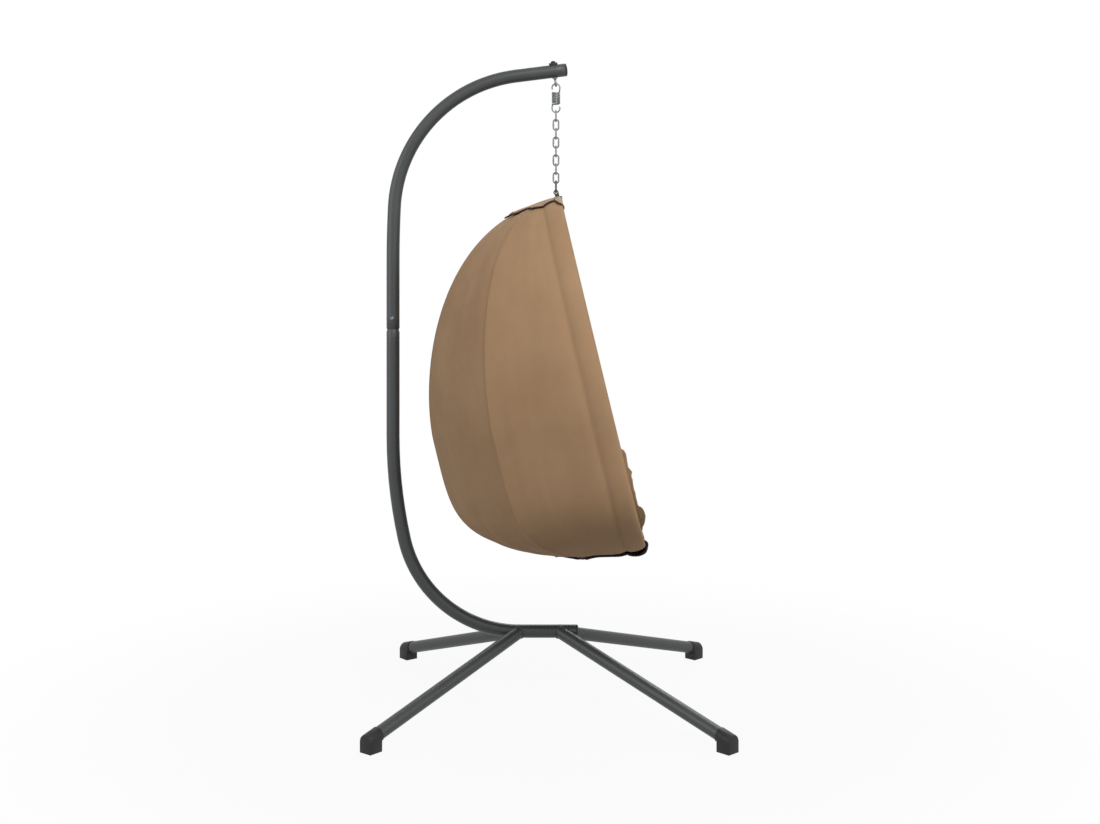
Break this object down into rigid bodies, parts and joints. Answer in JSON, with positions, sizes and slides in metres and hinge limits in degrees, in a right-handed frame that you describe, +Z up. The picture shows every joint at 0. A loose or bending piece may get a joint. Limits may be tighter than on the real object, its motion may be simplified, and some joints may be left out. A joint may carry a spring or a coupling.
{
  "type": "hanging pod chair",
  "caption": "Hanging pod chair: a cloth pod on a folding fan of five half hoops hangs by a chain and a spring from a curved tubular stand with four splayed legs.",
  "frame": {"origin": "on the floor, under the middle of the four feet", "axes": "+Z up, the pod opens towards -Y, the mast stands on the +Y side"},
  "size_m": [1.0938, 1.0337, 1.9603],
  "materials": {
    "powder_coat": "satin powder coat",
    "zinc": "dull zinc plate",
    "loop_steel": "dark, worn",
    "black_steel": "satin",
    "black_plastic": "matt",
    "cover_cloth": "woven, matt",
    "cushion_cloth": "woven, matt"
  },
  "bodies": {
    "stand": {"lower_mast": "powder_coat", "upper_arm": "powder_coat", "arm_end_plug": "black_plastic", "base_end_plug": "black_plastic", "mast_bolt": "zinc", "mast_nut": "zinc", "rear_left_leg": "powder_coat", "rear_left_foot": "black_plastic", "rear_right_leg": "powder_coat", "rear_right_foot": "black_plastic", "front_left_leg": "powder_coat", "front_left_foot": "black_plastic", "front_right_leg": "powder_coat", "front_right_foot": "black_plastic", "eye_bolt": "zinc", "arm_saddle": "black_plastic", "eye_nut": "black_plastic"},
    "spring": {"spring": "zinc"},
    "link_1": {"chain_link_1": "zinc"},
    "link_2": {"chain_link_2": "zinc"},
    "link_3": {"chain_link_3": "zinc"},
    "link_4": {"chain_link_4": "zinc"},
    "link_5": {"chain_link_5": "zinc"},
    "link_6": {"chain_link_6": "zinc"},
    "link_7": {"chain_link_7": "zinc"},
    "link_8": {"chain_link_8": "zinc"},
    "hanger_loop": {"hanger_loop": "loop_steel"},
    "pod": {"rear_hoop": "powder_coat", "top_hub": "black_steel", "bottom_hub": "black_steel", "top_pivot_pin": "zinc", "bottom_pivot_pin": "zinc", "left_back_panel": "cover_cloth", "right_back_panel": "cover_cloth", "top_cap": "cover_cloth", "bottom_cap": "cover_cloth"},
    "left_mid": {"left_mid_hoop": "powder_coat", "left_front_panel": "cover_cloth"},
    "left_rim": {"left_rim_hoop": "powder_coat"},
    "right_mid": {"right_mid_hoop": "powder_coat", "right_front_panel": "cover_cloth"},
    "right_rim": {"right_rim_hoop": "powder_coat"},
    "cushions": {"seat_cushion": "cushion_cloth", "back_cushion": "cushion_cloth"}
  },
  "joints": [
    {"name": "fore_swing", "type": "hinge", "parent": "stand", "child": "spring", "pos_m": [0, -0.01668, 1.88379], "axis": [-1, 0, 0], "range_deg": [-1.7, 20]},
    {"name": "spring_stretch", "type": "slide", "parent": "spring", "child": "link_1", "axis": [0, 0, -1], "range_m": [0, 0.02], "stiffness_N_per_m": 60000, "springref_m": -0.003, "deforming": ["spring"]},
    {"name": "side_swing", "type": "hinge", "parent": "link_1", "child": "link_2", "pos_m": [0, -0.01668, 1.78006], "axis": [0, 1, 0], "range_deg": [-12, 12]},
    {"name": "chain_twist_3", "type": "hinge", "parent": "link_2", "child": "link_3", "pos_m": [0, -0.01668, 1.75296], "axis": [0, 0, 1], "range_deg": [-6.4, 6.4]},
    {"name": "chain_twist_4", "type": "hinge", "parent": "link_2", "child": "link_4", "pos_m": [0, -0.01668, 1.72586], "axis": [0, 0, 1], "range_deg": [-12.8, 12.8]},
    {"name": "chain_twist_5", "type": "hinge", "parent": "link_2", "child": "link_5", "pos_m": [0, -0.01668, 1.69876], "axis": [0, 0, 1], "range_deg": [-19.2, 19.2]},
    {"name": "chain_twist_6", "type": "hinge", "parent": "link_2", "child": "link_6", "pos_m": [0, -0.01668, 1.67166], "axis": [0, 0, 1], "range_deg": [-25.6, 25.6]},
    {"name": "chain_twist_7", "type": "hinge", "parent": "link_2", "child": "link_7", "pos_m": [0, -0.01668, 1.64456], "axis": [0, 0, 1], "range_deg": [-32, 32]},
    {"name": "chain_twist_8", "type": "hinge", "parent": "link_2", "child": "link_8", "pos_m": [0, -0.01668, 1.61746], "axis": [0, 0, 1], "range_deg": [-38.4, 38.4]},
    {"name": "pod_turn", "type": "hinge", "parent": "link_2", "child": "hanger_loop", "pos_m": [0, -0.01668, 1.59086], "axis": [0, 0, 1], "range_deg": [-44.8, 44.8]},
    {"name": "pod_nod", "type": "hinge", "parent": "hanger_loop", "child": "pod", "pos_m": [0, -0.01668, 1.55686], "axis": [-1, 0, 0], "range_deg": [-1.5, 8]},
    {"name": "left_mid_fold", "type": "hinge", "parent": "pod", "child": "left_mid", "pos_m": [0, -0.02268, 1.54086], "axis": [0, -0.2368, -0.9715], "range_deg": [0, 35], "deforming": ["left_back_panel", "top_cap", "bottom_cap"]},
    {"name": "left_rim_fold", "type": "hinge", "parent": "left_mid", "child": "left_rim", "pos_m": [0, -0.02268, 1.54086], "axis": [0, -0.2368, -0.9715], "range_deg": [0, 19.7], "deforming": ["left_front_panel"]},
    {"name": "right_mid_fold", "type": "hinge", "parent": "pod", "child": "right_mid", "pos_m": [0, -0.02268, 1.54086], "axis": [0, 0.2368, 0.9715], "range_deg": [0, 35], "deforming": ["right_back_panel"]},
    {"name": "right_rim_fold", "type": "hinge", "parent": "right_mid", "child": "right_rim", "pos_m": [0, -0.02268, 1.54086], "axis": [0, 0.2368, 0.9715], "range_deg": [0, 19.7], "deforming": ["right_front_panel"]},
    {"name": "cushions_out", "type": "slide", "parent": "pod", "child": "cushions", "axis": [0, -0.9715, 0.2368], "range_m": [0, 0.6]}
  ],
  "couplings": [
    {"joint": "chain_twist_3", "follows": "pod_turn", "ratio": 0.14286},
    {"joint": "chain_twist_4", "follows": "pod_turn", "ratio": 0.28571},
    {"joint": "chain_twist_5", "follows": "pod_turn", "ratio": 0.42857},
    {"joint": "chain_twist_6", "follows": "pod_turn", "ratio": 0.57143},
    {"joint": "chain_twist_7", "follows": "pod_turn", "ratio": 0.71428},
    {"joint": "chain_twist_8", "follows": "pod_turn", "ratio": 0.85714},
    {"joint": "left_rim_fold", "follows": "left_mid_fold", "ratio": 0.56286},
    {"joint": "right_mid_fold", "follows": "left_mid_fold", "ratio": 1},
    {"joint": "right_rim_fold", "follows": "left_mid_fold", "ratio": 0.56286}
  ]
}
